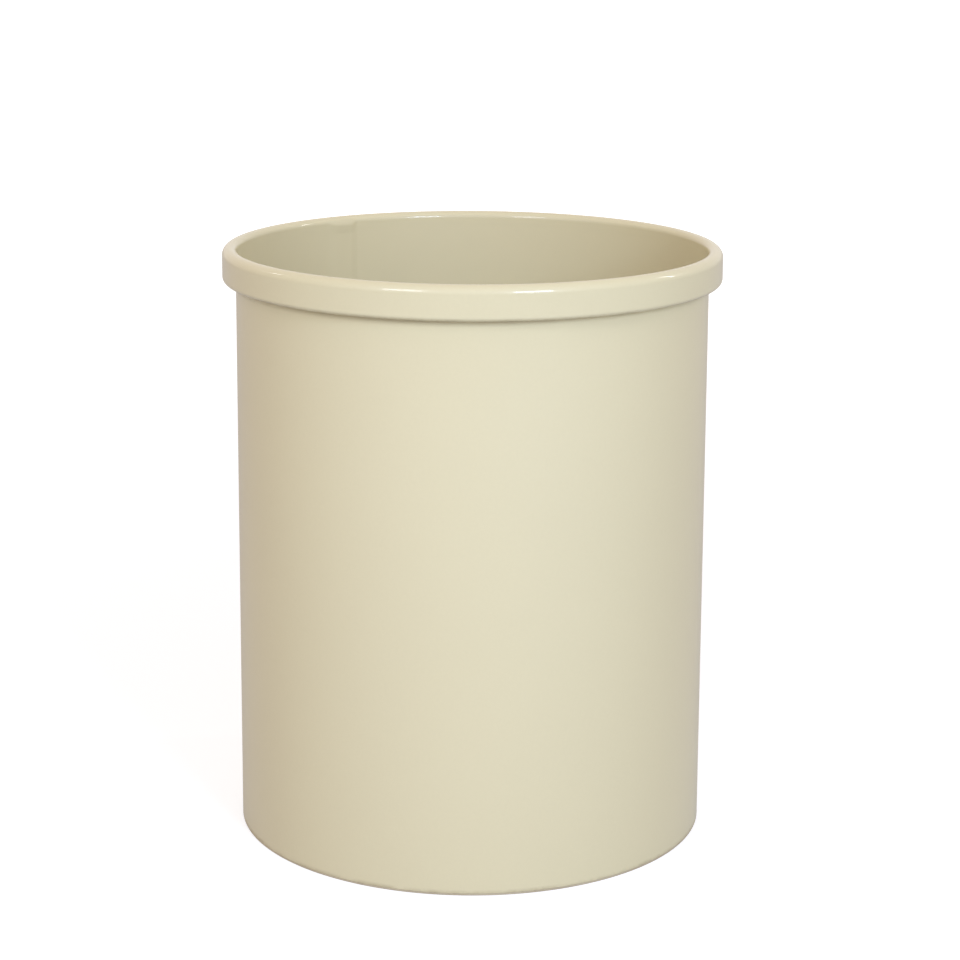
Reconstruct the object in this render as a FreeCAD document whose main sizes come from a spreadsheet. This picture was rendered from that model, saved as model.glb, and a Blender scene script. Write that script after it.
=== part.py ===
"""Round open waste bin of welded sheet steel, in millimetres.

The origin is the centre of the base, on the surface that the bin stands on, and +Z runs up the bin.
Each steel piece is drawn as a half section and turned about the bin's axis.
The lap seam of the wall and the lapped ends of the rim band start at the local +X direction,
and each of those two pieces is turned by the seam's angle.
"""

import FreeCAD, Part
import math
import os

import Sketcher

# Driving dimensions: name, value, what it is
SIZES = [
    ("bin_height", 308.0, "floor to the top of the crown"),
    ("shell_diameter", 246.0, "across the outside of the wall"),
    ("wall_sheet", 0.7, "thickness of the wall's sheet"),
    ("rim_sheet", 0.7, "thickness of the rim band's strip"),
    ("rim_projection", 7.0, "rim's outer face to the outside of the wall"),
    ("rim_depth", 17.5, "top of the crown to the rim's underside"),
    ("crown_radius", 4.3, "crown's radius on its outer side"),
    ("rim_lower_radius", 2.3, "rounding where the rim's face turns under"),
    ("rim_leg", 5.0, "top of the crown to the end of the rim's inner leg"),
    ("lip_clearance", 0.1, "gap between the rim's underside and the wall"),
    ("leg_clearance", 0.1, "gap between the rim's inner leg and the collar"),
    ("edge_clearance", 0.3, "gap between the collar's edge and the crown"),
    ("collar_ramp", 0.8, "height over which the wall steps out to its collar"),
    ("seam_angle", 122.0, "degrees from +X to the edge of the lap seam"),
    ("lap_width", 12.0, "width over which the sheet's two ends overlap"),
    ("lap_joggle", 4.0, "width over which the inner end steps out again"),
    ("lap_clearance", 1.5, "lap's notched corners to the pan and to the rim's leg"),
    ("lap_fade", 0.2, "depth at which the rim's lapped end runs out into the band"),
    ("floor_height", 10.0, "top of the pan above the ground"),
    ("pan_sheet", 0.7, "thickness of the pan's sheet"),
    ("pan_clearance", 0.05, "gap between the pan's flange and the wall"),
    ("pan_corner_radius", 4.0, "rounding where the pan turns down"),
    ("bead_diameter", 176.0, "across the middle of the pan's raised bead"),
    ("bead_width", 9.0, "width of the bead's flat top"),
    ("bead_slope", 3.0, "width of each of the bead's flanks"),
    ("bead_height", 2.0, "bead's height over the pan"),
    ("sole_thickness", 1.0, "base ring under the sheet edges"),
    ("ring_leg_height", 5.5, "base ring's leg above the ground"),
    ("ring_leg_thickness", 1.8, "thickness of the base ring's leg"),
    ("ring_clearance", 0.05, "gap between the base ring's leg and the pan's flange"),
    ("overrun", 1.0, "how far a cut runs past the metal"),
]

doc = FreeCAD.newDocument("waste_bin")
sheet = doc.addObject("Spreadsheet::Sheet", "Sizes")
for row, (alias, size, meaning) in enumerate(SIZES, start=1):
    sheet.set(f"A{row}", alias)
    sheet.set(f"B{row}", str(size))
    sheet.set(f"C{row}", meaning)
    sheet.setAlias(f"B{row}", alias)
doc.recompute()

# Shared lines of the bin, as expressions on the sheet
shell_outer = "(Sizes.shell_diameter / 2)"
shell_inner = f"({shell_outer} - Sizes.wall_sheet)"
rim_outer = f"({shell_outer} + Sizes.rim_projection)"
crown_inner_radius = f"({rim_outer} - {shell_inner} - Sizes.crown_radius)"
leg_end = "(Sizes.bin_height - Sizes.rim_leg)"
rim_underside = "(Sizes.bin_height - Sizes.rim_depth)"
collar_step = "(Sizes.rim_sheet + Sizes.leg_clearance)"
pan_outer = f"({shell_inner} - Sizes.pan_clearance)"
pan_inner = f"({pan_outer} - Sizes.pan_sheet)"
lap_bottom = "(Sizes.floor_height + Sizes.lap_clearance)"
lap_top = f"({leg_end} - Sizes.collar_ramp - Sizes.lap_clearance)"
lap_angle = f"asin(Sizes.lap_width / {shell_inner})"
joggle_end = "(Sizes.lap_width + Sizes.lap_joggle)"
joggle_end_angle = f"asin({joggle_end} / {shell_inner})"

LEFT = 1
RIGHT = -1


def value(expression):
    """Number that an expression on the sheet comes to."""
    result = sheet.evalExpression(expression)
    return float(getattr(result, "Value", result))


def rounded(corners):
    """Outline whose corners, all square and along the axes, are rounded where a radius is given.

    Each corner is (x, y) or (x, y, radius). Returns points as (x, y, arc to the next point or None),
    without the straight edges of no length that lie between two roundings that meet.
    """
    outline = []
    for index, corner in enumerate(corners):
        x, y = corner[0], corner[1]
        if len(corner) == 2:
            outline.append((x, y, None))
            continue
        radius = corner[2]
        before = corners[index - 1]
        after = corners[(index + 1) % len(corners)]
        way_in = [sign_of(x, before[0]), sign_of(y, before[1])]
        way_out = [sign_of(after[0], x), sign_of(after[1], y)]
        turn = LEFT if way_in[0] * way_out[1] - way_in[1] * way_out[0] > 0 else RIGHT
        outline.append((moved(x, -way_in[0], radius), moved(y, -way_in[1], radius), (radius, turn)))
        outline.append((moved(x, way_out[0], radius), moved(y, way_out[1], radius), None))
    pairs = zip(outline, outline[1:] + outline[:1])
    return [point for point, after in pairs if point[2] or not same_place(point, after)]


def same_place(point, other):
    """Whether two outline points lie on each other."""
    return sign_of(point[0], other[0]) == 0 and sign_of(point[1], other[1]) == 0


def sign_of(end, start):
    """Which way an outline runs along one axis: -1, 0 or 1."""
    gap = value(end) - value(start)
    if abs(gap) < Part.Precision.confusion():
        return 0
    return 1 if gap > 0 else -1


def moved(place, way, distance):
    """Expression for a place moved by a distance, one way, the other or not at all."""
    if way == 0:
        return place
    return f"({place} {'+' if way > 0 else '-'} {distance})"


def arc_between(start, end, radius, turn):
    """Arc from start to end that turns left or right, as a sketch holds it."""
    chord = end - start
    middle = (start + end) / 2
    height = math.sqrt(max(radius**2 - (chord.Length / 2) ** 2, 0))
    side = FreeCAD.Vector(-chord.y, chord.x, 0).normalize() * turn
    centre = middle + side * height
    first, last = (start, end) if turn == LEFT else (end, start)
    circle = Part.Circle(centre, FreeCAD.Vector(0, 0, 1), radius)
    return Part.ArcOfCircle(circle, circle.parameter(first), circle.parameter(last))


def draw(body, name, plane_role, outline, angle=None):
    """Closed sketch on one of the body's own planes, fully tied to the sheet.

    Each outline point is (x, y, arc), where arc is None for a straight edge to the next point,
    or (radius, turn). An angle swings an upright section round the bin's axis.
    """
    sketch = body.newObject("Sketcher::SketchObject", name)
    plane = next(feature for feature in body.Origin.OriginFeatures if feature.Role == plane_role)
    sketch.AttachmentSupport = [(plane, "")]
    sketch.MapMode = "FlatFace"
    if angle is not None:
        swing = FreeCAD.Rotation(FreeCAD.Vector(0, 1, 0), value(angle))
        sketch.AttachmentOffset = FreeCAD.Placement(FreeCAD.Vector(), swing)
        sketch.setExpression("AttachmentOffset.Rotation.Angle", angle)
    places = [FreeCAD.Vector(value(x), value(y), 0) for x, y, arc in outline]
    count = len(outline)
    starts, ends = [], []
    for index, (x, y, arc) in enumerate(outline):
        start, end = places[index], places[(index + 1) % count]
        if arc is None:
            sketch.addGeometry(Part.LineSegment(start, end), False)
            starts.append(1)
            ends.append(2)
        else:
            radius, turn = arc
            sketch.addGeometry(arc_between(start, end, value(radius), turn), False)
            starts.append(1 if turn == LEFT else 2)
            ends.append(2 if turn == LEFT else 1)
    for index in range(count):
        after = (index + 1) % count
        sketch.addConstraint(
            Sketcher.Constraint("Coincident", index, ends[index], after, starts[after])
        )
    for index, (x, y, arc) in enumerate(outline):
        pin(sketch, "DistanceX", index, starts[index], x, places[index].x, -2)
        pin(sketch, "DistanceY", index, starts[index], y, places[index].y, -1)
        if arc is not None:
            number = sketch.addConstraint(Sketcher.Constraint("Radius", index, value(arc[0])))
            sketch.setExpression(f"Constraints[{number}]", arc[0])
    return sketch


def pin(sketch, kind, edge, end, expression, place, axis):
    """Hold one coordinate of an edge's end at an expression, or on the axis where it is zero."""
    if abs(place) < Part.Precision.confusion():
        sketch.addConstraint(Sketcher.Constraint("PointOnObject", edge, end, axis))
        return
    number = sketch.addConstraint(Sketcher.Constraint(kind, -1, 1, edge, end, place))
    sketch.setExpression(f"Constraints[{number}]", expression)


def turned(body, name, sketch, angle="360"):
    """Section turned about the bin's axis, counter-clockwise from above."""
    feature = body.newObject("PartDesign::Revolution", name)
    feature.Profile = sketch
    feature.ReferenceAxis = (sketch, ["V_Axis"])
    feature.setExpression("Angle", angle)
    return feature


def raise_to(sketch, height):
    """Lift a sketch that lies on the ground plane."""
    sketch.setExpression("AttachmentOffset.Base.z", height)


def on_circle(radius, across):
    """Point on a circle about the axis, given its distance from the seam's line."""
    return (f"sqrt({radius}^2 - {across}^2)", across)


def straight(*points):
    """Outline with straight edges only."""
    return [(x, y, None) for x, y in points]


def new_piece(label, about_seam=False):
    """Empty body with the piece's name, turned to the seam where the piece has one."""
    body = doc.addObject("PartDesign::Body", label)
    body.Label = label
    body.Placement = FreeCAD.Placement()
    if about_seam:
        up = FreeCAD.Vector(0, 0, 1)
        turn = FreeCAD.Rotation(up, value("Sizes.seam_angle"))
        body.Placement = FreeCAD.Placement(FreeCAD.Vector(), turn)
        body.setExpression("Placement.Rotation.Angle", "Sizes.seam_angle")
    return body


def make_body_shell():
    """Rolled wall: a plain cylinder with a collar at the top and a joggled lap seam."""
    body = new_piece("body_shell", about_seam=True)
    collar_outer = f"({shell_outer} + {collar_step})"
    collar_inner = f"({shell_inner} + {collar_step})"
    ramp_start = f"({leg_end} - Sizes.collar_ramp)"
    shell_top = f"(Sizes.bin_height - {crown_inner_radius} - Sizes.edge_clearance)"
    wall = draw(body, "WallSection", "XZ_Plane", straight(
        (shell_inner, "Sizes.sole_thickness"),
        (shell_outer, "Sizes.sole_thickness"),
        (shell_outer, ramp_start),
        (collar_outer, leg_end),
        (collar_outer, shell_top),
        (collar_inner, shell_top),
        (collar_inner, leg_end),
        (shell_inner, ramp_start),
    ))
    turned(body, "Wall", wall)

    lap_face = f"({shell_inner} - Sizes.wall_sheet)"
    buried = f"({shell_inner} + Sizes.wall_sheet / 2)"
    lap = draw(body, "LapPlan", "XY_Plane", [
        (lap_face, "0", (lap_face, LEFT)),
        (*on_circle(lap_face, "Sizes.lap_width"), None),
        (*on_circle(shell_inner, joggle_end), None),
        (*on_circle(buried, joggle_end), (buried, RIGHT)),
        (buried, "0", None),
    ])
    raise_to(lap, lap_bottom)
    inner_end = body.newObject("PartDesign::Pad", "InnerEnd")
    inner_end.Profile = lap
    inner_end.setExpression("Length", f"{lap_top} - {lap_bottom}")

    step = f"({shell_outer} - Sizes.wall_sheet)"
    beyond = f"({shell_outer} + Sizes.overrun)"
    notch = draw(body, "NotchPlan", "XY_Plane", [
        (*on_circle(step, "Sizes.lap_width"), None),
        (*on_circle(beyond, "Sizes.lap_width"), (beyond, LEFT)),
        (*on_circle(beyond, joggle_end), None),
        (*on_circle(shell_outer, joggle_end), None),
    ])
    raise_to(notch, lap_bottom)
    outer_step = body.newObject("PartDesign::Pocket", "OuterStep")
    outer_step.Profile = notch
    outer_step.Reversed = True
    outer_step.setExpression("Length", f"{lap_top} - {lap_bottom}")
    body.Tip = outer_step
    return body


def lapped_crown(body, name, lift, angle=None):
    """Section of the rim's lapped end: its inner leg and the inner side of its crown, lifted."""
    middle = f"({shell_inner} + Sizes.rim_sheet / 2)"
    apex = f"({shell_inner} + {crown_inner_radius})"
    inner_face = f"({shell_inner} - {lift})"
    crest = "(Sizes.bin_height - Sizes.lap_fade)"
    return draw(body, name, "XZ_Plane", [
        (inner_face, leg_end, None),
        (inner_face, f"({crest} - {crown_inner_radius} - {lift})",
         (f"({crown_inner_radius} + {lift})", RIGHT)),
        (apex, crest, None),
        (apex, "(Sizes.bin_height - Sizes.rim_sheet / 2)",
         (f"({crown_inner_radius} - Sizes.rim_sheet / 2)", LEFT)),
        (middle, f"(Sizes.bin_height - {crown_inner_radius})", None),
        (middle, leg_end, None),
    ], angle)


def make_rim_ring():
    """Rim band: inner leg, crown, flat face and lower return, with its ends lapped at the seam."""
    body = new_piece("rim_ring", about_seam=True)
    top = "Sizes.bin_height"
    strip = "Sizes.rim_sheet"
    lip = f"({shell_outer} + Sizes.lip_clearance)"
    section = draw(body, "BandSection", "XZ_Plane", rounded([
        (shell_inner, leg_end),
        (shell_inner, top, crown_inner_radius),
        (rim_outer, top, "Sizes.crown_radius"),
        (rim_outer, rim_underside, "Sizes.rim_lower_radius"),
        (lip, rim_underside),
        (lip, f"({rim_underside} + {strip})"),
        (f"({rim_outer} - {strip})", f"({rim_underside} + {strip})",
         f"(Sizes.rim_lower_radius - {strip})"),
        (f"({rim_outer} - {strip})", f"({top} - {strip})", f"(Sizes.crown_radius - {strip})"),
        (f"({shell_inner} + {strip})", f"({top} - {strip})", f"({crown_inner_radius} - {strip})"),
        (f"({shell_inner} + {strip})", leg_end),
    ]))
    turned(body, "Band", section)

    lapped = lapped_crown(body, "LapSection", "Sizes.rim_sheet")
    turned(body, "LappedEnd", lapped, lap_angle)
    lifted = lapped_crown(body, "JoggleStart", "Sizes.rim_sheet", lap_angle)
    faded = lapped_crown(body, "JoggleEnd", "(-Sizes.lap_fade)", joggle_end_angle)
    joggle = body.newObject("PartDesign::AdditiveLoft", "Joggle")
    joggle.Profile = lifted
    joggle.Sections = [faded]
    joggle.Ruled = True
    body.Tip = joggle
    return body


def make_bottom_pan():
    """Floor: flat disc with one raised bead and a flange turned down inside the wall."""
    body = new_piece("bottom_pan")
    top = "Sizes.floor_height"
    under = "(Sizes.floor_height - Sizes.pan_sheet)"
    bead_inner = "(Sizes.bead_diameter / 2 - Sizes.bead_width / 2)"
    bead_outer = "(Sizes.bead_diameter / 2 + Sizes.bead_width / 2)"
    foot_inner = f"({bead_inner} - Sizes.bead_slope)"
    foot_outer = f"({bead_outer} + Sizes.bead_slope)"
    corner = "Sizes.pan_corner_radius"
    inner_corner = "(Sizes.pan_corner_radius - Sizes.pan_sheet)"
    section = draw(body, "PanSection", "XZ_Plane", [
        ("0", top, None),
        (foot_inner, top, None),
        (bead_inner, f"({top} + Sizes.bead_height)", None),
        (bead_outer, f"({top} + Sizes.bead_height)", None),
        (foot_outer, top, None),
        (f"({pan_outer} - {corner})", top, (corner, RIGHT)),
        (pan_outer, f"({top} - {corner})", None),
        (pan_outer, "Sizes.sole_thickness", None),
        (pan_inner, "Sizes.sole_thickness", None),
        (pan_inner, f"({top} - {corner})", (inner_corner, LEFT)),
        (f"({pan_outer} - {corner})", under, None),
        (foot_outer, under, None),
        (bead_outer, f"({under} + Sizes.bead_height)", None),
        (bead_inner, f"({under} + Sizes.bead_height)", None),
        (foot_inner, under, None),
        ("0", under, None),
    ])
    turned(body, "Pan", section)
    return body


def make_base_ring():
    """Soft ring: a leg inside the pan's flange and a sole under the edges of pan and wall."""
    body = new_piece("base_ring")
    leg_outer = f"({pan_inner} - Sizes.ring_clearance)"
    leg_inner = f"({leg_outer} - Sizes.ring_leg_thickness)"
    section = draw(body, "RingSection", "XZ_Plane", straight(
        (leg_inner, "0"),
        (shell_outer, "0"),
        (shell_outer, "Sizes.sole_thickness"),
        (leg_outer, "Sizes.sole_thickness"),
        (leg_outer, "Sizes.ring_leg_height"),
        (leg_inner, "Sizes.ring_leg_height"),
    ))
    turned(body, "Ring", section)
    return body


pieces = [make_body_shell(), make_rim_ring(), make_bottom_pan(), make_base_ring()]
doc.recompute()

for thing in doc.Objects:
    if {"Invalid", "Error"} & set(thing.State):
        raise RuntimeError(f"{thing.Label} did not rebuild: {thing.State}")
for piece in pieces:
    if piece.Shape.isNull() or not piece.Shape.isValid():
        raise RuntimeError(f"{piece.Label} has no valid shape")

os.makedirs("parts", exist_ok=True)
for piece in pieces:
    piece.Shape.exportStep(f"parts/{piece.Label}.step")
    print(piece.Label, "solids", len(piece.Shape.Solids), "volume", round(piece.Shape.Volume, 1))
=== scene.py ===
"""Looks of a round open waste bin of ivory powder-coated sheet steel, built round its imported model.

Lengths are in metres and angles in radians unless a name says otherwise. The bin stands on the
ground plane with its axis on +Z, and the viewer of the main view stands at -Y.
"""
import logging
import math
from dataclasses import dataclass
from dataclasses import field
from enum import Enum
from typing import Any
from typing import Callable

import bpy
from mathutils import Matrix
from mathutils import Vector


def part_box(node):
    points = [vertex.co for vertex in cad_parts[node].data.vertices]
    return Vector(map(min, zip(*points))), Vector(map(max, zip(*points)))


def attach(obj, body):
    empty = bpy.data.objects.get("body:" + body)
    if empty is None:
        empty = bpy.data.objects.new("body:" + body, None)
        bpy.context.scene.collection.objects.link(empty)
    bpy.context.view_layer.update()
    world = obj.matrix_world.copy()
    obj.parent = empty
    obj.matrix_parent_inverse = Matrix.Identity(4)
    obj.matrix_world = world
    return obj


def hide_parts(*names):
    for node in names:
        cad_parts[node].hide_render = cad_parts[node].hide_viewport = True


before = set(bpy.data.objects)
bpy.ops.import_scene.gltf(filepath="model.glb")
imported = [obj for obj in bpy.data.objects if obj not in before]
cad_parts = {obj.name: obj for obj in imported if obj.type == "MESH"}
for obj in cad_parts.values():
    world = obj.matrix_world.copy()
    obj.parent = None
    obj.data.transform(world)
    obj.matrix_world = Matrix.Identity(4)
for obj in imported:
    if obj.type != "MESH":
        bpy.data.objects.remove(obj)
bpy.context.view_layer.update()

BODY = "root"
MM = 0.001
FULL_TURN = 2 * math.pi
STRAIGHT = math.radians(0.5)
SUPPORT = 0.3 * MM
SHORTEST = 0.01 * MM
MIXED_COLOUR = 2
WHITE = (1.0, 1.0, 1.0, 1.0)

log = logging.getLogger("waste_bin")


class Term:
    """Value in a node tree. Python's operators on it add Math nodes to that tree."""

    def __init__(self, sheet: "NodeSheet", socket: bpy.types.NodeSocket) -> None:
        """Wrap one output socket.

        Args:
            sheet: the tree that the socket belongs to.
            socket: the output whose value this is.
        """
        self.sheet = sheet
        self.socket = socket

    def __add__(self, other: "Operand") -> "Term":
        """Sum."""
        return self.sheet.math("ADD", self, other)

    __radd__ = __add__

    def __mul__(self, other: "Operand") -> "Term":
        """Product."""
        return self.sheet.math("MULTIPLY", self, other)

    __rmul__ = __mul__

    def __sub__(self, other: "Operand") -> "Term":
        """Difference."""
        return self.sheet.math("SUBTRACT", self, other)

    def __rsub__(self, other: "Operand") -> "Term":
        """Difference from a number."""
        return self.sheet.math("SUBTRACT", other, self)

    def __truediv__(self, other: "Operand") -> "Term":
        """Quotient."""
        return self.sheet.math("DIVIDE", self, other)

    def __pow__(self, other: "Operand") -> "Term":
        """Power."""
        return self.sheet.math("POWER", self, other)


Operand = Term | float


class NodeSheet:
    """Node tree that is written from Python expressions."""

    def __init__(self, tree: bpy.types.NodeTree) -> None:
        """Start on an empty tree.

        Args:
            tree: the tree to fill, whose nodes are cleared.
        """
        self.tree = tree
        tree.nodes.clear()

    def node(
        self,
        kind: str,
        settings: dict[str, Any] | None = None,
        sockets: dict[str | int, Any] | None = None,
        output: str | int = 0,
    ) -> Term:
        """Add one node of any type.

        Args:
            kind: the node's type.
            settings: its properties, set before its sockets.
            sockets: values or terms for its inputs, by identifier or place.
            output: the output to return, by name or place.

        Returns:
            The chosen output, or the node's first one.
        """
        node = self.tree.nodes.new(kind)
        for name, setting in (settings or {}).items():
            setattr(node, name, setting)
        for key, content in (sockets or {}).items():
            socket = self._input(node, key)
            if isinstance(content, Term):
                self.tree.links.new(content.socket, socket)
            else:
                socket.default_value = content
        return Term(self, node.outputs[output])

    @staticmethod
    def _input(node: bpy.types.Node, key: str | int) -> bpy.types.NodeSocket:
        """Input socket of a node, by identifier or place."""
        if isinstance(key, int):
            return node.inputs[key]
        return next(socket for socket in node.inputs if socket.identifier == key)

    def math(self, operation: str, *terms: Operand) -> Term:
        """One Math node on up to three terms."""
        return self.node("ShaderNodeMath", {"operation": operation}, dict(enumerate(terms)))

    def ramp(self, value: Term, low: Operand, high: Operand) -> Term:
        """Smooth step of a value.

        Args:
            value: what the step depends on.
            low: where the step is still 0.
            high: where it reaches 1.

        Returns:
            A term from 0 to 1.
        """
        settings = {"interpolation_type": "SMOOTHSTEP"}
        ends = {"Value": value, "From Min": low, "From Max": high}
        return self.node("ShaderNodeMapRange", settings, ends)

    def blend(self, share: Operand, first: Any, second: Any) -> Term:
        """Colour between two colours.

        Args:
            share: 0 for the first colour and 1 for the second.
            first: a colour or a term that holds one.
            second: the same.

        Returns:
            The mixed colour.
        """
        sockets = {"Factor_Float": share, "A_Color": first, "B_Color": second}
        return self.node("ShaderNodeMix", {"data_type": "RGBA"}, sockets, output=MIXED_COLOUR)

    def noise(self, place: Term, scale: float, detail: float, roughness: float = 0.5) -> Term:
        """Smooth noise from 0 to 1.

        Args:
            place: the coordinates.
            scale: cells per metre.
            detail: how many finer layers are added.
            roughness: how strong the finer layers are.

        Returns:
            The noise's value.
        """
        sockets = {"Vector": place, "Scale": scale, "Detail": detail, "Roughness": roughness}
        return self.node("ShaderNodeTexNoise", {"noise_dimensions": "3D"}, sockets)


@dataclass(frozen=True)
class Corner:
    """Corner of a half section, given as distance from the axis and height, with its rounding."""

    radius: float
    height: float
    rounding: float = 0.0
    steps: int = 6


@dataclass(frozen=True)
class Shares:
    """How far a point of a section follows the lap seam."""

    inward: float = 0.0
    sink: float = 0.0
    notch: float = 0.0


def bend(corner: Corner, before: Corner, after: Corner) -> list[Vector]:
    """Points that stand for one corner of an outline.

    Args:
        corner: the corner.
        before: the corner that the outline comes from.
        after: the corner that it goes on to.

    Returns:
        The corner itself, or the arc that rounds it.
    """
    here = Vector((corner.radius, corner.height))
    if corner.rounding == 0:
        return [here]
    way_in = (Vector((before.radius, before.height)) - here).normalized()
    way_out = (Vector((after.radius, after.height)) - here).normalized()
    half = way_in.angle(way_out) / 2
    centre = here + (way_in + way_out).normalized() * corner.rounding / math.sin(half)
    first = here + way_in * corner.rounding / math.tan(half) - centre
    last = here + way_out * corner.rounding / math.tan(half) - centre
    step = -first.angle_signed(last) / corner.steps
    return [centre + Matrix.Rotation(step * count, 2) @ first for count in range(corner.steps + 1)]


def straight_on(arcs: list[list[Vector]], index: int) -> bool:
    """Whether the outline goes straight on at a single point."""
    if len(arcs[index]) > 1:
        return False
    here = arcs[index][0]
    before = arcs[index - 1][-1]
    after = arcs[(index + 1) % len(arcs)][0]
    return (here - before).angle(after - here) < STRAIGHT


def rounded(corners: list[Corner], closed: bool) -> list[tuple[float, float]]:
    """Outline with rounded corners, and supporting points that keep the faces between them flat.

    Args:
        corners: the outline's corners, in order.
        closed: whether the last corner is joined to the first.

    Returns:
        Points as (distance from the axis, height).
    """
    count = len(corners)
    ends = () if closed else (0, count - 1)
    arcs = [
        [Vector((corner.radius, corner.height))]
        if index in ends
        else bend(corner, corners[index - 1], corners[(index + 1) % count])
        for index, corner in enumerate(corners)
    ]
    outline: list[Vector] = []
    for index, arc in enumerate(arcs):
        outline += arc
        if index == count - 1 and not closed:
            break
        after = (index + 1) % count
        run = arcs[after][0] - arc[-1]
        if run.length < SHORTEST:
            outline.pop()
            continue
        step = run.normalized() * min(SUPPORT, run.length / 3)
        if index not in ends and not straight_on(arcs, index):
            outline.append(arc[-1] + step)
        if after not in ends and not straight_on(arcs, after):
            outline.append(arcs[after][0] - step)
    return [tuple(point) for point in outline]


@dataclass(frozen=True)
class Seam:
    """Lap seam of a rolled strip: its inner end lies on the inside, then steps out again."""

    angle: float = math.radians(122.0)
    lap: float = 12.0 * MM
    joggle: float = 9.0 * MM
    edge: float = 4.2 * MM
    lift: float = 0.7 * MM
    wall_share: float = 0.5
    sink: float = 1.7 * MM
    peak: float = 0.2 * MM
    peak_reach: float = 14.0 * MM
    margin: float = 2.0 * MM
    radius: float = 122.3 * MM

    def turn(self, length: float) -> float:
        """Angle that a length along the wall takes up."""
        return length / self.radius


@dataclass(frozen=True)
class Unevenness:
    """Slight waves that rolling leaves in a sheet."""

    height: float = 0.04 * MM
    cells: float = 14.0


class LatheTree:
    """Geometry Nodes tree that turns a half section about the axis and lays its lap seam."""

    STEPS = 1080
    SEAM_SHARE = 0.26
    SEAL = 0.002 * MM

    def __init__(self, seam: Seam) -> None:
        """Build the tree once, for all pieces.

        Args:
            seam: the lap seam that the pieces share.
        """
        self.seam = seam
        self.group = bpy.data.node_groups.new("turned_section", "GeometryNodeTree")
        self.sheet = NodeSheet(self.group)
        self.sockets = {
            name: self.group.interface.new_socket(name, in_out="INPUT", socket_type=kind)
            for name, kind in (
                ("Section", "NodeSocketGeometry"),
                ("Steps", "NodeSocketInt"),
                ("Seam share", "NodeSocketFloat"),
                ("Lift", "NodeSocketFloat"),
                ("Sink", "NodeSocketFloat"),
                ("Peak", "NodeSocketFloat"),
                ("Waves", "NodeSocketFloat"),
                ("Finish", "NodeSocketMaterial"),
            )
        }
        self.group.interface.new_socket("Piece", in_out="OUTPUT", socket_type="NodeSocketGeometry")
        self._fill()

    def _named(self, name: str) -> Term:
        """Attribute of the section or of the path, by name."""
        kind = {"data_type": "FLOAT"}
        return self.sheet.node("GeometryNodeInputNamedAttribute", kind, {"Name": name})

    def _angle(self, given: Callable[[str], Term]) -> Term:
        """Angle of each point of the path, with its steps crowded at the seam.

        Args:
            given: the tree's inputs, by name.

        Returns:
            The angle from the seam's free edge.
        """
        seam = self.seam
        zone = seam.turn(seam.lap + seam.joggle + 2 * seam.margin)
        turn = self._named("turn")
        share = given("Seam share")
        near = self.sheet.math("MINIMUM", turn / share, 1.0)
        far = self.sheet.math("MAXIMUM", (turn - share) / (1.0 - share), 0.0)
        return near * zone + far * (FULL_TURN - zone) - seam.turn(seam.margin)

    def _fill(self) -> None:
        """Write the tree's nodes."""
        sheet, seam = self.sheet, self.seam
        inputs = sheet.tree.nodes.new("NodeGroupInput")

        def given(name: str) -> Term:
            """Input of the tree, by name."""
            return Term(sheet, inputs.outputs[name])

        profile = sheet.node("GeometryNodeMeshToCurve", None, {"Mesh": given("Section")})
        path = sheet.node("GeometryNodeCurvePrimitiveCircle", None, {"Resolution": given("Steps")})
        share = sheet.node("GeometryNodeSplineParameter")
        marks = {"Geometry": path, "Name": "turn", "Value": share}
        path = sheet.node("GeometryNodeStoreNamedAttribute", {"data_type": "FLOAT"}, marks)
        swept = sheet.node("GeometryNodeCurveToMesh", None, {"Curve": path, "Profile Curve": profile})

        along = self._angle(given)
        lap, joggle_end = seam.turn(seam.lap), seam.turn(seam.lap + seam.joggle)
        edge = seam.turn(seam.edge)
        back_out = sheet.ramp(along, lap, joggle_end)
        inner_end = sheet.ramp(along, 0.0, edge) * (1.0 - back_out)
        outer_end = sheet.ramp(along, lap - edge, lap) * (1.0 - back_out)
        wrapped = along - sheet.math("GREATER_THAN", along, math.pi) * FULL_TURN
        fall = sheet.math("ABSOLUTE", wrapped) / seam.turn(seam.peak_reach)
        peak = sheet.math("MAXIMUM", 1.0 - fall, 0.0) ** 2.0

        angle = along + seam.angle
        cosine, sine = sheet.math("COSINE", angle), sheet.math("SINE", angle)
        radius, height = self._named("section_radius"), self._named("section_height")
        ring = {"X": cosine * seam.radius, "Y": sine * seam.radius, "Z": height}
        place = sheet.node("ShaderNodeCombineXYZ", None, ring)
        wave = (sheet.noise(place, Unevenness.cells, 1.0) - 0.5) * given("Waves")
        lapped = (self._named("inward") * inner_end + self._named("notch") * outer_end) * given("Lift")
        radius = radius - lapped + peak * given("Peak") + wave * self._named("free")
        height = height - self._named("sink") * inner_end * given("Sink")
        ring = {"X": radius * cosine, "Y": radius * sine, "Z": height}
        spot = sheet.node("ShaderNodeCombineXYZ", None, ring)

        placed = sheet.node("GeometryNodeSetPosition", None, {"Geometry": swept, "Position": spot})
        sealed = {"Geometry": placed, "Distance": self.SEAL}
        piece = sheet.node("GeometryNodeMergeByDistance", None, sealed)
        piece = sheet.node("GeometryNodeSetShadeSmooth", None, {"Geometry": piece})
        piece = sheet.node("GeometryNodeRealizeInstances", None, {"Geometry": piece})
        finish = {"Geometry": piece, "Material": given("Finish")}
        piece = sheet.node("GeometryNodeSetMaterial", None, finish)
        output = sheet.tree.nodes.new("NodeGroupOutput")
        sheet.tree.links.new(piece.socket, output.inputs["Piece"])

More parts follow.
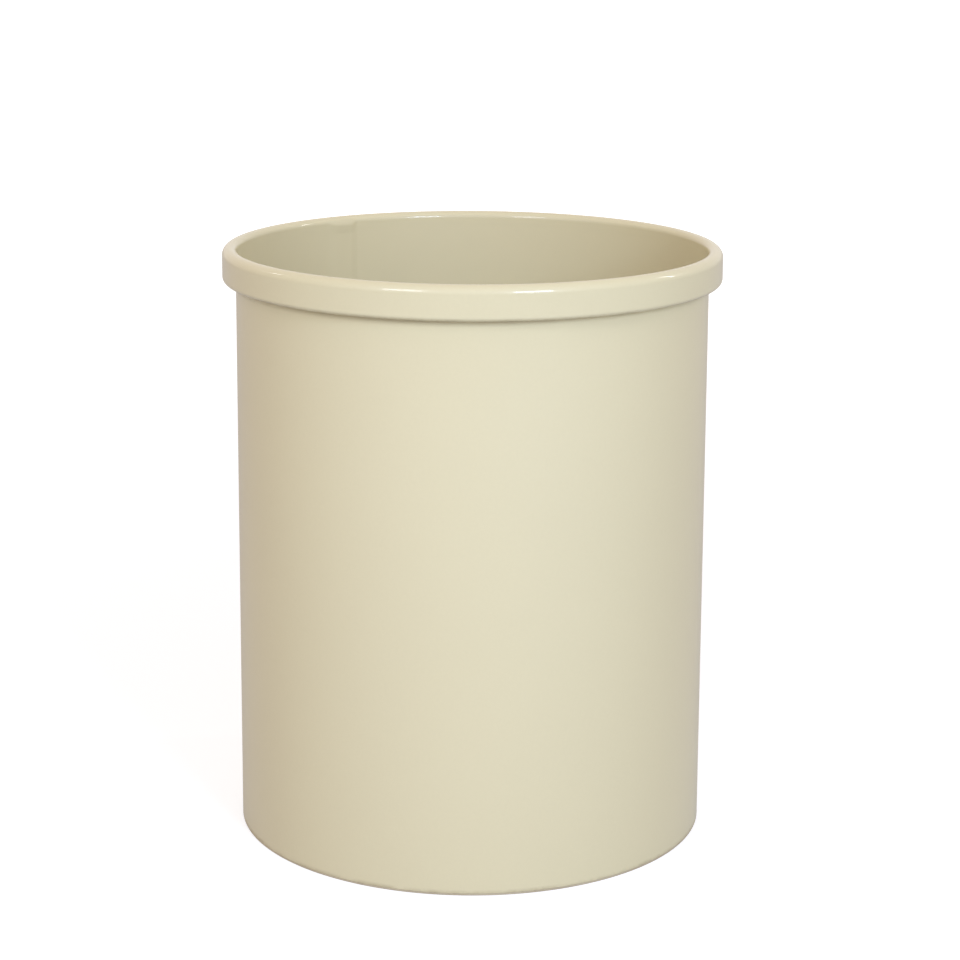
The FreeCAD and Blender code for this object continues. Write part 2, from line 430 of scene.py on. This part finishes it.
    def turn(self, name: str, section: bpy.types.Mesh, inputs: dict[str, Any]) -> bpy.types.Object:
        """Turn one section into a finished plain mesh.

        Args:
            name: the piece's name.
            section: the half section as a line of points, with its attributes.
            inputs: the tree's other inputs, by name.

        Returns:
            The piece's object, at the origin.
        """
        blank = bpy.data.objects.new(name + "_blank", section)
        bpy.context.scene.collection.objects.link(blank)
        modifier = blank.modifiers.new("turned", "NODES")
        modifier.node_group = self.group
        for key, content in inputs.items():
            modifier[self.sockets[key].identifier] = content
        graph = bpy.context.evaluated_depsgraph_get()
        mesh = bpy.data.meshes.new_from_object(blank.evaluated_get(graph))
        blank.modifiers.remove(modifier)
        bpy.data.objects.remove(blank)
        mesh.name = name
        for mark in ("turn", "section_radius", "section_height", "inward", "sink", "notch", "free"):
            attribute = mesh.attributes.get(mark)
            if attribute is not None:
                mesh.attributes.remove(attribute)
        piece = bpy.data.objects.new(name, mesh)
        bpy.context.scene.collection.objects.link(piece)
        return piece


@dataclass(frozen=True)
class PowderCoat:
    """Ivory powder coat: a slightly mottled colour, fine orange peel, and dust and painted shade in bands
    at given heights.

    Cells are counted per metre. Inside a given radius the colour is darker: painted shade of the bin's
    inside.
    """

    name: str
    colour: tuple[float, float, float] = (0.74, 0.675, 0.434)
    mottle: float = 0.025
    mottle_share: float = 0.25
    mottle_contrast: float = 10.0
    mottle_depth: float = 4.0
    broad_part: float = 1.5
    mottle_cells: float = 9.0
    speck_cells: float = 620.0
    roughness: float = 0.34
    roughness_spread: float = 0.08
    scuff_cells: float = 55.0
    refraction: float = 1.5
    specular: float = 0.2
    gloss: float = 0.5
    gloss_roughness: float = 0.06
    peel: float = 0.006 * MM
    peel_cells: float = 330.0
    wave: float = 0.05 * MM
    wave_cells: float = 22.0
    # Darker bands: painted shade under the rim, a wall darker towards its foot, dust on the floor pan.
    dust_and_shade: float = 0.5
    dust_and_shade_colour: tuple[float, float, float] = (0.34, 0.27, 0.14)
    dust_and_shade_heights: tuple[tuple[float, float], ...] = ()
    dust_and_shade_from: float = 0.0
    dust_and_shade_cells: float = 70.0
    dust_and_shade_breaks: tuple[float, float] = (0.25, 0.75)
    dust_and_shade_edge: float = 0.2 * MM
    dust_and_shade_roughness: float = 0.2
    stray_dust: float = 0.15
    stray_breaks: tuple[float, float] = (0.62, 0.9)
    # Painted shade: how much darker the colour is inside the given radius.
    inside_painted_shade: float = 0.0
    inside_painted_shade_within: float = 0.0
    fade: float = 0.3 * MM

    def material(self) -> bpy.types.Material:
        """Material of this finish.

        Returns:
            A new material with its nodes.
        """
        material = bpy.data.materials.new(self.name)
        material.use_nodes = True
        sheet = NodeSheet(material.node_tree)
        place = sheet.node("ShaderNodeTexCoord", output="Object")
        broad = sheet.noise(place, self.mottle_cells, 2.0)
        fine = sheet.noise(place, self.speck_cells, 1.0)
        tone = (broad - 0.5) * self.mottle * self.broad_part + (fine - 0.5) * self.mottle
        darker = tuple(share * (1 - self.mottle * self.mottle_depth) for share in self.colour)
        shade = self.mottle_share - tone * self.mottle_contrast
        colour = sheet.blend(shade, (*self.colour, 1.0), (*darker, 1.0))
        away = self._away(sheet, place)
        # Painted shade of the bin's inside: darker colour within the given radius.
        if self.inside_painted_shade:
            inside = 1.0 - sheet.ramp(away, self.inside_painted_shade_within - self.fade, self.inside_painted_shade_within)
            thin = tuple(share * (1 - self.inside_painted_shade) for share in self.colour)
            colour = sheet.blend(inside, colour, (*thin, 1.0))
        # Darker bands at given heights: painted shade under the rim, a darker foot on the wall, dust on
        # the floor pan.
        dust_and_shade_share = self._dust_and_shade(sheet, place, away)
        colour = sheet.blend(dust_and_shade_share * self.dust_and_shade, colour, (*self.dust_and_shade_colour, 1.0))
        scuffs = sheet.noise(place, self.scuff_cells, 4.0, 0.65)
        roughness = self.roughness + (scuffs - 0.5) * self.roughness_spread
        roughness = roughness + dust_and_shade_share * self.dust_and_shade_roughness
        height = sheet.noise(place, self.peel_cells, 2.0) * self.peel
        height = height + sheet.noise(place, self.wave_cells, 1.0) * self.wave
        normal = sheet.node(
            "ShaderNodeBump", None, {"Strength": 1.0, "Distance": 1.0, "Height": height}
        )
        surface = sheet.node(
            "ShaderNodeBsdfPrincipled",
            None,
            {
                "Base Color": colour,
                "Roughness": roughness,
                "IOR": self.refraction,
                "Specular IOR Level": self.specular,
                "Coat Weight": self.gloss,
                "Coat Roughness": self.gloss_roughness,
                "Normal": normal,
            },
        )
        output = sheet.tree.nodes.new("ShaderNodeOutputMaterial")
        sheet.tree.links.new(surface.socket, output.inputs["Surface"])
        return material

    @staticmethod
    def _away(sheet: NodeSheet, place: Term) -> Term:
        """Distance from the bin's axis."""
        flat = sheet.node("ShaderNodeVectorMath", {"operation": "MULTIPLY"}, {0: place, 1: (1, 1, 0)})
        return sheet.node("ShaderNodeVectorMath", {"operation": "LENGTH"}, {0: flat}, output="Value")

    def _dust_and_shade(self, sheet: NodeSheet, place: Term, away: Term) -> Term:
        """Share of dust and painted shade over the surface, in bands at given heights, else stray dust.

        Args:
            sheet: the material's nodes.
            place: the object coordinates.
            away: the distance from the bin's axis.

        Returns:
            A term from 0 to 1.
        """
        height = sheet.node("ShaderNodeSeparateXYZ", None, {"Vector": place}, output="Z")
        outside = sheet.ramp(away, self.dust_and_shade_from - self.dust_and_shade_edge, self.dust_and_shade_from)
        broken = sheet.noise(place, self.dust_and_shade_cells, 4.0, 0.7)
        share: Operand = 0.0
        for middle, reach in self.dust_and_shade_heights:
            near = 1.0 - sheet.ramp(sheet.math("ABSOLUTE", height - middle), 0.0, reach)
            share = near * outside + share
        if isinstance(share, float):
            return sheet.ramp(broken, *self.stray_breaks) * self.stray_dust
        return share * sheet.ramp(broken, *self.dust_and_shade_breaks)


@dataclass(frozen=True)
class SoftPlastic:
    """Soft PVC of the base ring: matte beige with a faint grain and rubbed edges."""

    name: str = "soft_pvc"
    # This beige is the ring's darker PVC together with painted shade of the floor contact.
    colour: tuple[float, float, float] = (0.52, 0.45, 0.31)
    rubbed: tuple[float, float, float] = (0.43, 0.36, 0.24)
    roughness: float = 0.55
    grain: float = 0.02 * MM
    grain_cells: float = 900.0
    grain_roughness: float = 0.2
    rub_cells: float = 45.0
    rub_breaks: tuple[float, float] = (0.35, 0.75)
    rub_roughness: float = 0.1

    def material(self) -> bpy.types.Material:
        """Material of this finish.

        Returns:
            A new material with its nodes.
        """
        material = bpy.data.materials.new(self.name)
        material.use_nodes = True
        sheet = NodeSheet(material.node_tree)
        place = sheet.node("ShaderNodeTexCoord", output="Object")
        worn = sheet.ramp(sheet.noise(place, self.rub_cells, 5.0, 0.7), *self.rub_breaks)
        colour = sheet.blend(worn, (*self.colour, 1.0), (*self.rubbed, 1.0))
        grain = sheet.noise(place, self.grain_cells, 2.0)
        roughness = self.roughness + (grain - 0.5) * self.grain_roughness
        roughness = roughness + worn * self.rub_roughness
        bump = {"Strength": 1.0, "Distance": 1.0, "Height": grain * self.grain}
        normal = sheet.node("ShaderNodeBump", None, bump)
        sockets = {"Base Color": colour, "Roughness": roughness, "Normal": normal}
        surface = sheet.node("ShaderNodeBsdfPrincipled", None, sockets)
        output = sheet.tree.nodes.new("ShaderNodeOutputMaterial")
        sheet.tree.links.new(surface.socket, output.inputs["Surface"])
        return material


class Slot(Enum):
    """The record's material slots."""

    WALL = "wall_enamel"
    RIM = "rim_enamel"
    FLOOR = "floor_enamel"
    RING = "soft_ring"


def half_width(node: str) -> float:
    """Radius of a round node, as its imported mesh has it."""
    low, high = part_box(node)
    return min(-low.x, high.x, -low.y, high.y)


@dataclass
class Turned:
    """Piece that is turned about the bin's axis."""

    lathe: LatheTree
    finish: PowderCoat | SoftPlastic
    name: str = ""
    node: str = ""
    slot: Slot = Slot.WALL
    steps: int = LatheTree.STEPS
    seam_share: float = LatheTree.SEAM_SHARE
    peak: float = 0.0
    waves: float = 0.0

    def corners(self) -> list[Corner]:
        """Corners of the half section, in order."""
        raise NotImplementedError

    def closed(self) -> bool:
        """Whether the section is a closed loop, rather than ending on the axis."""
        return True

    def shares(self, radius: float, height: float) -> Shares:
        """How far a point of the section follows the lap seam."""
        return Shares()

    def section(self) -> bpy.types.Mesh:
        """Half section as a line of points, with the attributes that the lathe reads.

        Returns:
            A mesh of points and edges.
        """
        points = rounded(self.corners(), self.closed())
        count = len(points)
        mesh = bpy.data.meshes.new(self.name + "_section")
        edges = [(index, (index + 1) % count) for index in range(count if self.closed() else count - 1)]
        mesh.from_pydata([(radius, 0.0, height) for radius, height in points], edges, [])
        shares = [self.shares(radius, height) for radius, height in points]
        columns = {
            "section_radius": [radius for radius, height in points],
            "section_height": [height for radius, height in points],
            "inward": [share.inward for share in shares],
            "sink": [share.sink for share in shares],
            "notch": [share.notch for share in shares],
            "free": [0.0 if radius < MM else 1.0 for radius, height in points],
        }
        for key, column in columns.items():
            mesh.attributes.new(key, "FLOAT", "POINT").data.foreach_set("value", column)
        return mesh

    def build(self) -> bpy.types.Object:
        """Make the piece and tie it to the frame.

        Returns:
            The finished object.
        """
        seam = self.lathe.seam
        inputs = {
            "Steps": self.steps,
            "Seam share": self.seam_share,
            "Lift": seam.lift,
            "Sink": seam.sink,
            "Peak": self.peak,
            "Waves": self.waves,
            "Finish": self.finish.material(),
        }
        piece = self.lathe.turn(self.name, self.section(), inputs)
        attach(piece, BODY)
        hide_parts(self.node)
        log.info("%s: %d points, %d faces", piece.name, len(piece.data.vertices), len(piece.data.polygons))
        return piece


@dataclass
class RimBand(Turned):
    """Rim band of D section: crown, flat face, lower return, and a short leg inside the wall."""

    name: str = "rim_band"
    node: str = "rim_ring"
    slot: Slot = Slot.RIM
    strip: float = 0.7 * MM
    crown_radius: float = 4.3 * MM
    lower_radius: float = 2.3 * MM
    lip_gap: float = 0.1 * MM
    lip_edge: float = 0.3 * MM
    leg: float = 5.0 * MM
    coat_bridge: float = 4.0 * MM
    coat_depth: float = 0.01 * MM
    outer_skin: float = 0.9
    peak: float = Seam.peak
    waves: float = Unevenness.height

    def __post_init__(self) -> None:
        """Take the band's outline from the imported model."""
        low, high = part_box(self.node)
        self.top = high.z
        self.underside = low.z
        self.outer = half_width(self.node)
        self.inner = self.lathe.seam.radius
        self.lip_radius = self.inner + self.strip + self.lip_gap
        self.crown_inner = self.outer - self.inner - self.crown_radius
        self.apex = self.inner + self.crown_inner

    def corners(self) -> list[Corner]:
        """Corners of the strip's section, from the leg's lower end up, over and back inside."""
        strip = self.strip
        leg_end = self.top - self.leg
        under = self.underside
        coat_end = leg_end - self.coat_bridge
        return [
            Corner(self.inner + self.coat_depth, coat_end),
            Corner(self.inner - self.coat_depth, leg_end - self.coat_bridge / 4),
            Corner(self.inner, leg_end),
            Corner(self.inner, self.top, self.crown_inner, 14),
            Corner(self.outer, self.top, self.crown_radius, 18),
            Corner(self.outer, under, self.lower_radius, 8),
            Corner(self.lip_radius, under, self.lip_edge, 3),
            Corner(self.lip_radius, under + strip, self.lip_edge, 3),
            Corner(self.outer - strip, under + strip, self.lower_radius - strip, 3),
            Corner(self.outer - strip, self.top - strip, self.crown_radius - strip, 4),
            Corner(self.inner + strip, self.top - strip, self.crown_inner - strip, 4),
            Corner(self.inner + strip, leg_end),
        ]

    def shares(self, radius: float, height: float) -> Shares:
        """Lap of the band's ends: the leg and the inner side of the crown stand in and hang lower."""
        inside = self.inner + self.strip * 0.5
        crown_foot = self.top - self.crown_inner
        if height < crown_foot:
            if radius > inside:
                return Shares()
            leg_foot = self.top - self.leg - self.coat_bridge
            rise = (height - leg_foot) / (crown_foot - leg_foot)
            wall_share = self.lathe.seam.wall_share
            return Shares(inward=wall_share + (1.0 - wall_share) * rise, sink=rise)
        across = (self.apex - radius) / self.crown_inner
        drop = (self.top - height) / self.crown_inner
        skin = math.hypot(across, 1.0 - drop)
        if across <= 0 or skin < self.outer_skin:
            return Shares()
        return Shares(inward=across, sink=drop)


@dataclass
class Wall(Turned):
    """Rolled wall with its lap seam, and the collar that the rim band sits on."""

    name: str = "wall_sheet"
    node: str = "body_shell"
    slot: Slot = Slot.WALL
    sheet: float = 0.7 * MM
    collar_ramp: float = 0.8 * MM
    leg: float = 5.0 * MM
    cut_edge: float = 0.25 * MM
    lap_bottom: float = 11.5 * MM
    lap_run_out: float = 2.5 * MM
    rows: int = 10
    peak: float = Seam.peak
    waves: float = Unevenness.height

    def __post_init__(self) -> None:
        """Take the wall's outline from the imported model."""
        low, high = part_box(self.node)
        self.bottom = low.z
        self.collar_top = high.z
        self.collar_outer = half_width(self.node)
        self.inner = self.lathe.seam.radius
        self.outer = self.inner + self.sheet
        self.leg_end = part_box("rim_ring")[1].z - self.leg

    def corners(self) -> list[Corner]:
        """Corners of the sheet's section, from the bottom edge up inside and down outside."""
        edge, thin = self.cut_edge, self.sheet
        ramp_start = self.leg_end - self.collar_ramp
        rows = [ramp_start * share / self.rows for share in range(1, self.rows)]
        inside = [Corner(self.inner, height) for height in rows]
        outside = [Corner(self.outer, height) for height in reversed(rows)]
        return [
            Corner(self.inner, self.bottom, edge, 4),
            Corner(self.inner, self.lap_bottom - self.lap_run_out),
            Corner(self.inner, self.lap_bottom),
            Corner(self.inner, self.lap_bottom + self.lap_run_out / 2),
            *inside,
            Corner(self.inner, ramp_start),
            Corner(self.collar_outer - thin, self.leg_end),
            Corner(self.collar_outer - thin, self.collar_top),
            Corner(self.collar_outer, self.collar_top),
            Corner(self.collar_outer, self.leg_end),
            Corner(self.outer, ramp_start),
            *outside,
            Corner(self.outer, self.lap_bottom),
            Corner(self.outer, self.bottom, edge, 4),
        ]

    def shares(self, radius: float, height: float) -> Shares:
        """Lap of the sheet's ends: the inner end stands in, the outer end stops short."""
        ramp_start = self.leg_end - self.collar_ramp
        if height < self.lap_bottom - SHORTEST or height > ramp_start + SHORTEST:
            return Shares()
        wall_share = self.lathe.seam.wall_share
        if radius < self.inner + self.sheet / 2:
            return Shares(inward=wall_share)
        return Shares(notch=wall_share)


@dataclass
class FloorPan(Turned):
    """Pressed floor with one raised bead and a flange turned down inside the wall."""

    name: str = "floor_pan"
    node: str = "bottom_pan"
    slot: Slot = Slot.FLOOR
    steps: int = 720
    seam_share: float = 0.06
    sheet: float = 0.7 * MM
    corner_radius: float = 4.0 * MM
    bead_diameter: float = 176.0 * MM
    bead_width: float = 9.0 * MM
    bead_slope: float = 3.0 * MM
    bead_height: float = 2.0 * MM
    bead_rounding: float = 1.2 * MM
    cut_edge: float = 0.25 * MM
    rings: int = 5
    waves: float = 0.0

    def __post_init__(self) -> None:
        """Take the pan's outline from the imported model."""
        low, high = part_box(self.node)
        self.outer = half_width(self.node)
        self.bottom = low.z
        self.top = high.z - self.bead_height

    def closed(self) -> bool:
        """The section ends on the axis, above and below."""
        return False

    def profile(self, height: float, corner_radius: float, sign: int) -> list[Corner]:
        """One face of the sheet, from the axis out to the flange.

        Args:
            height: the flat floor's height on this face.
            corner_radius: rounding where the flange turns down.
            sign: 1 for the upper face and -1 for the lower one.

        Returns:
            The face's corners.
        """
        middle, half = self.bead_diameter / 2, self.bead_width / 2
        foot = half + self.bead_slope
        crest = height + self.bead_height
        soft = self.bead_rounding
        flange = self.outer if sign > 0 else self.outer - self.sheet
        reach = middle - foot
        flat = [Corner(reach * share / self.rings, height) for share in range(self.rings)]
        return [
            *flat,
            Corner(middle - foot, height, soft, 4),
            Corner(middle - half, crest, soft, 4),
            Corner(middle + half, crest, soft, 4),
            Corner(middle + foot, height, soft, 4),
            Corner(flange, height, corner_radius, 10),
        ]

    def corners(self) -> list[Corner]:
        """Corners of the sheet's section, from the axis over the flange and back underneath."""
        upper = self.profile(self.top, self.corner_radius, 1)
        lower = self.profile(self.top - self.sheet, self.corner_radius - self.sheet, -1)
        edge = [
            Corner(self.outer, self.bottom, self.cut_edge, 3),
            Corner(self.outer - self.sheet, self.bottom, self.cut_edge, 3),
        ]
        return [*upper, *edge, *reversed(lower)]


@dataclass
class BaseRing(Turned):
    """Soft ring: a leg inside the pan's flange and a sole under the sheet edges."""

    name: str = "soft_base_ring"
    node: str = "base_ring"
    slot: Slot = Slot.RING
    steps: int = 720
    seam_share: float = 0.06
    sole: float = 1.0 * MM
    leg_thickness: float = 1.8 * MM
    leg_gap: float = 1.5 * MM
    moulded_edge: float = 0.3 * MM

    def __post_init__(self) -> None:
        """Take the ring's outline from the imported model."""
        low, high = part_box(self.node)
        self.bottom = low.z
        self.leg_top = high.z
        self.outer = half_width(self.node)
        self.leg_outer = self.outer - self.leg_gap

    def corners(self) -> list[Corner]:
        """Corners of the ring's section, from the leg's foot inside, up and over to the sole."""
        edge = self.moulded_edge
        leg_inner = self.leg_outer - self.leg_thickness
        return [
            Corner(leg_inner, self.bottom, edge, 4),
            Corner(leg_inner, self.leg_top, edge, 4),
            Corner(self.leg_outer, self.leg_top, edge, 4),
            Corner(self.leg_outer, self.sole),
            Corner(self.outer, self.sole, edge, 4),
            Corner(self.outer, self.bottom, edge, 4),
        ]


@dataclass(frozen=True)
class Viewpoint:
    """Camera of the main view, in front of the bin and looking down into its mouth."""

    lens_mm: float = 93.357
    sensor_mm: float = 36.0
    distance: float = 1.28249
    height: float = 0.50393
    tilt: float = math.radians(11.235)
    turn: float = math.radians(0.184)
    roll: float = math.radians(0.311)
    picture_shift: float = -0.1302

    def place(self) -> bpy.types.Object:
        """Put the camera into the scene.

        Returns:
            The camera's object.
        """
        camera = bpy.data.cameras.new("main_view")
        camera.lens = self.lens_mm
        camera.sensor_width = self.sensor_mm
        camera.shift_y = self.picture_shift
        viewer = bpy.data.objects.new("main_view", camera)
        bpy.context.scene.collection.objects.link(viewer)
        heading = Matrix.Rotation(-self.turn, 4, "Z")
        upright = Matrix.Rotation(math.pi / 2 - self.tilt, 4, "X")
        lean = Matrix.Rotation(self.roll, 4, "Z")
        spot = Matrix.Translation((0.0, -self.distance, self.height))
        viewer.matrix_world = spot @ heading @ upright @ lean
        bpy.context.scene.camera = viewer
        return viewer


@dataclass(frozen=True)
class SoftBox:
    """Rectangular lamp, placed by its direction from the bin's mouth.

    Its radiance is its brightness as a surface, where 1 is a white surface in plain light.
    """

    name: str
    azimuth: float
    elevation: float
    distance: float
    width: float
    height: float
    radiance: float
    colour: tuple[float, float, float] = (1.0, 1.0, 1.0)

    def place(self, target: Vector) -> bpy.types.Object:
        """Put the lamp into the scene.

        Args:
            target: the point that the lamp faces.

        Returns:
            The lamp's object.
        """
        lamp = bpy.data.lights.new(self.name, "AREA")
        lamp.shape = "RECTANGLE"
        lamp.size = self.width
        lamp.size_y = self.height
        lamp.energy = self.radiance * math.pi * self.width * self.height
        lamp.color = self.colour
        holder = bpy.data.objects.new(self.name, lamp)
        bpy.context.scene.collection.objects.link(holder)
        azimuth, elevation = math.radians(self.azimuth), math.radians(self.elevation)
        level = math.cos(elevation)
        away = Vector((math.sin(azimuth) * level, -math.cos(azimuth) * level, math.sin(elevation)))
        holder.location = target + away * self.distance
        holder.rotation_mode = "QUATERNION"
        holder.rotation_quaternion = away.to_track_quat("Z", "Y")
        return holder


@dataclass(frozen=True)
class Glow:
    """Soft light that the surroundings send from one side."""

    side: tuple[float, float, float]
    colour: tuple[float, float, float]


@dataclass
class Studio:
    """Plain pale floor, white surroundings and soft lamps.

    Within the shadow's reach of the bin the floor glows less, so that its shadow shows.
    """

    glows: tuple[Glow, ...] = (
        Glow((0.0, 0.0, 1.0), (0.3, 0.26, 0.24)),
        Glow((-1.0, 0.0, 0.0), (0.26, 0.12, 0.0)),
        Glow((1.0, 0.0, 0.0), (0.25, 0.17, 0.11)),
        Glow((0.0, 1.0, 0.0), (0.88, 0.82, 0.76)),
        Glow((0.0, -1.0, 0.0), (0.86, 0.85, 0.98)),
    )
    mirrored: float = 0.5
    floor_mirrored: float = 0.25
    floor_colour: tuple[float, float, float] = (0.5, 0.51, 0.53)
    floor_glow: float = 0.65
    floor_reach: float = 12.0
    shadow_reach: tuple[float, float] = (0.3, 2.5)
    target: Vector = field(default_factory=lambda: Vector((0.0, 0.0, 0.3)))
    lamps: tuple[SoftBox, ...] = (
        SoftBox("left_box", -31.0, 25.0, 1.5, 0.45, 0.405, 9.2, (0.92, 0.98, 1.13)),
        SoftBox("right_box", 26.6, 19.0, 1.5, 0.45, 0.465, 12.6, (0.82, 1.0, 1.32)),
        SoftBox("side_box", 103.3, 26.0, 1.5, 0.085, 0.35, 14.5),
        SoftBox("far_left_box", -109.4, 30.0, 1.5, 0.06, 0.2, 12.0),
    )

    def build(self) -> None:
        """Set up the surroundings, the floor and the lamps."""
        self._surroundings()
        self._floor()
        for lamp in self.lamps:
            lamp.place(self.target)
            log.info("lamp %s", lamp.name)

    @staticmethod
    def _seen(sheet: NodeSheet, mirrored: float) -> Term:
        """Share of the white background for what sees it directly, and less for reflections."""
        shares = {"Is Camera Ray": 1.0, "Is Transmission Ray": 1.0, "Is Glossy Ray": mirrored}
        direct, through, reflected = (
            sheet.node("ShaderNodeLightPath", output=name) * share for name, share in shares.items()
        )
        return sheet.math("MINIMUM", direct + through + reflected, 1.0)

    def _surroundings(self) -> None:
        """White world for what sees it directly, and soft tinted light from all sides otherwise."""
        world = bpy.data.worlds.new("surroundings")
        world.use_nodes = True
        bpy.context.scene.world = world
        sheet = NodeSheet(world.node_tree)
        towards = sheet.node("ShaderNodeTexCoord", output="Generated")
        light = (0.0, 0.0, 0.0)
        for glow in self.glows:
            facing = {0: towards, 1: glow.side}
            dot = sheet.node("ShaderNodeVectorMath", {"operation": "DOT_PRODUCT"}, facing, "Value")
            scaled = {0: glow.colour, "Scale": sheet.math("MAXIMUM", dot, 0.0)}
            part = sheet.node("ShaderNodeVectorMath", {"operation": "SCALE"}, scaled)
            light = sheet.node("ShaderNodeVectorMath", {"operation": "ADD"}, {0: light, 1: part})
        seen = self._seen(sheet, self.mirrored)
        colour = sheet.blend(seen, light, WHITE)
        sky = sheet.node("ShaderNodeBackground", None, {"Color": colour, "Strength": 1.0})
        output = sheet.tree.nodes.new("ShaderNodeOutputWorld")
        sheet.tree.links.new(sky.socket, output.inputs["Surface"])

    def _floor(self) -> bpy.types.Object:
        """Wide floor that looks white and keeps the bin's soft shadow.

        Returns:
            The floor's object.
        """
        reach = self.floor_reach
        mesh = bpy.data.meshes.new("floor")
        mesh.from_pydata(
            [(-reach, -reach, 0), (reach, -reach, 0), (reach, reach, 0), (-reach, reach, 0)],
            [],
            [(0, 1, 2, 3)],
        )
        floor = bpy.data.objects.new("floor", mesh)
        bpy.context.scene.collection.objects.link(floor)
        material = bpy.data.materials.new("pale_floor")
        material.use_nodes = True
        sheet = NodeSheet(material.node_tree)
        place = sheet.node("ShaderNodeTexCoord", output="Object")
        away = sheet.node("ShaderNodeVectorMath", {"operation": "LENGTH"}, {0: place}, output="Value")
        glow = self.floor_glow + sheet.ramp(away, *self.shadow_reach) * (1.0 - self.floor_glow)
        lit = sheet.node("ShaderNodeBsdfDiffuse", None, {"Color": (*self.floor_colour, 1.0)})
        seen = self._seen(sheet, self.floor_mirrored)
        white = sheet.node("ShaderNodeEmission", None, {"Strength": seen * glow})
        surface = sheet.node("ShaderNodeAddShader", None, {0: lit, 1: white})
        output = sheet.tree.nodes.new("ShaderNodeOutputMaterial")
        sheet.tree.links.new(surface.socket, output.inputs["Surface"])
        mesh.materials.append(material)
        return floor


def main() -> None:
    """Build the bin's pieces in order, then the studio and the camera."""
    logging.basicConfig(level=logging.INFO, format="%(name)s: %(message)s")
    lathe = LatheTree(Seam())
    under_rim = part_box("rim_ring")[0].z
    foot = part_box("body_shell")[0].z
    pan_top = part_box("bottom_pan")[1].z
    skin = half_width("base_ring") - 0.2 * MM
    # Painted shade of the crevice under the rim, on the wall and the rim's lower edge; the wall also
    # darkens towards its foot.
    wall_dark_bands = ((under_rim, 2.2 * MM), (foot, 2.5 * MM))
    rim_painted_shade = ((under_rim, 2.0 * MM),)
    floor_dust = ((pan_top, 6.0 * MM),)
    inside = lathe.seam.radius + 0.5 * MM
    # Painted shade: darker colour on the inside of the wall and the rim.
    wall_inside_shade = {"inside_painted_shade": 0.09, "inside_painted_shade_within": inside}
    rim_tone = {"colour": (0.728, 0.665, 0.427), "inside_painted_shade": 0.075, "inside_painted_shade_within": inside}
    rim_gloss = {"roughness": 0.3, "gloss": 0.55, "gloss_roughness": 0.045}
    rim_coat = PowderCoat("rim_coat", dust_and_shade_heights=rim_painted_shade, **rim_tone, **rim_gloss)
    Wall(lathe, PowderCoat("wall_coat", dust_and_shade_heights=wall_dark_bands, dust_and_shade_from=skin, **wall_inside_shade)).build()
    RimBand(lathe, rim_coat).build()
    FloorPan(lathe, PowderCoat("floor_coat", roughness=0.42, dust_and_shade_heights=floor_dust)).build()
    BaseRing(lathe, SoftPlastic()).build()
    Studio().build()
    Viewpoint().place()
    bpy.context.scene.view_settings.view_transform = "Standard"


if __name__ == "__main__":
    main()
